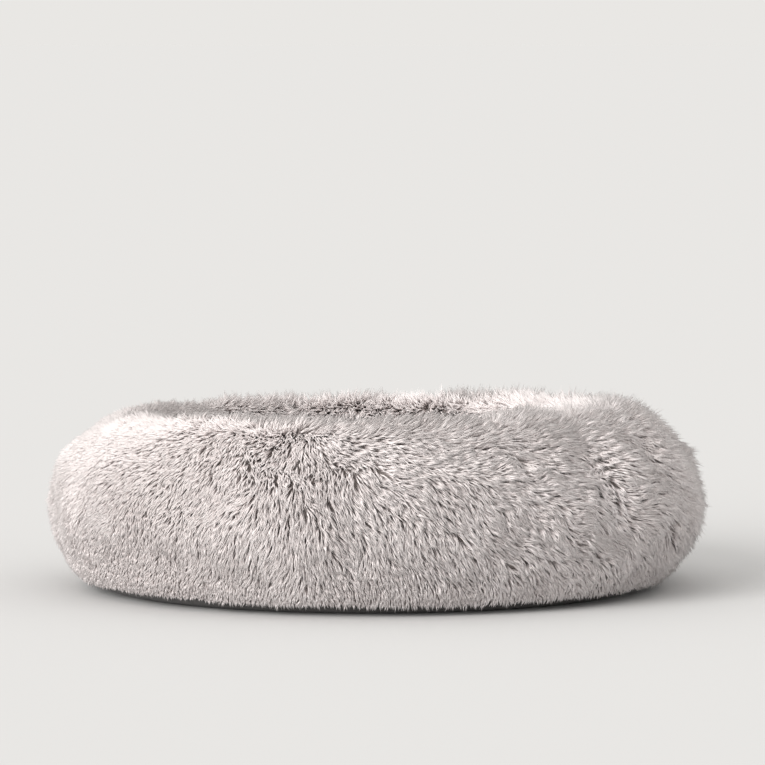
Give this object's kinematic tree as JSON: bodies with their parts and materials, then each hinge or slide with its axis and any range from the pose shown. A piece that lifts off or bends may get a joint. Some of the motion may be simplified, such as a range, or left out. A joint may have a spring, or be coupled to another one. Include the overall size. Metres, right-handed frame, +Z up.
{
  "type": "pet cushion bed",
  "caption": "Round shaggy pet bed: a fat stuffed rim of long-pile faux fur round a sunken fur cushion, on a dark non-slip base cloth, with a rear zip.",
  "frame": {"origin": "on the floor, under the centre of the round bed", "axes": "+Z up; -Y is the front; +X is to the right as seen from the front"},
  "size_m": [0.76, 0.76, 0.229],
  "materials": {
    "fur": "long shaggy pile, soft sheen",
    "base_cloth": "matte woven cloth with small non-slip dots",
    "liner_cloth": "thin matte nonwoven",
    "fibre": "loose white polyester fibre",
    "binding": "ribbed woven tape",
    "thread": "twisted polyester thread",
    "label": "blank satin ribbon",
    "zip_tape": "herringbone woven tape",
    "zip_coil": "satin nylon coil",
    "zip_metal": "dark nickel, satin"
  },
  "bodies": {
    "bed": {"rim_fur_front": "fur", "rim_fur_back": "fur", "nest_fur": "fur", "base_fabric": "base_cloth", "rim_liner": "liner_cloth", "rim_filling": "fibre", "nest_liner": "liner_cloth", "nest_filling": "fibre", "base_seam_binding": "binding", "base_seam_thread": "thread", "nest_seam_thread": "thread", "rim_seam_thread": "thread", "care_label": "label", "zip_upper_tape": "zip_tape", "zip_lower_tape": "zip_tape", "zip_upper_coil": "zip_coil", "zip_lower_coil": "zip_coil", "zip_end_stops": "zip_metal"},
    "zip_slider": {"zip_slider": "zip_metal"},
    "zip_pull": {"zip_pull": "zip_metal"}
  },
  "joints": [
    {"name": "zip_travel", "type": "hinge", "parent": "bed", "child": "zip_slider", "pos_m": [0, 0, 0.02715], "axis": [0, 0, 1], "range_deg": [0, 99]},
    {"name": "pull_swing", "type": "hinge", "parent": "zip_slider", "child": "zip_pull", "pos_m": [0.332, 0.11757, 0.02381], "axis": [0.6059, 0.2146, 0.766], "range_deg": [-85, 85]}
  ]
}
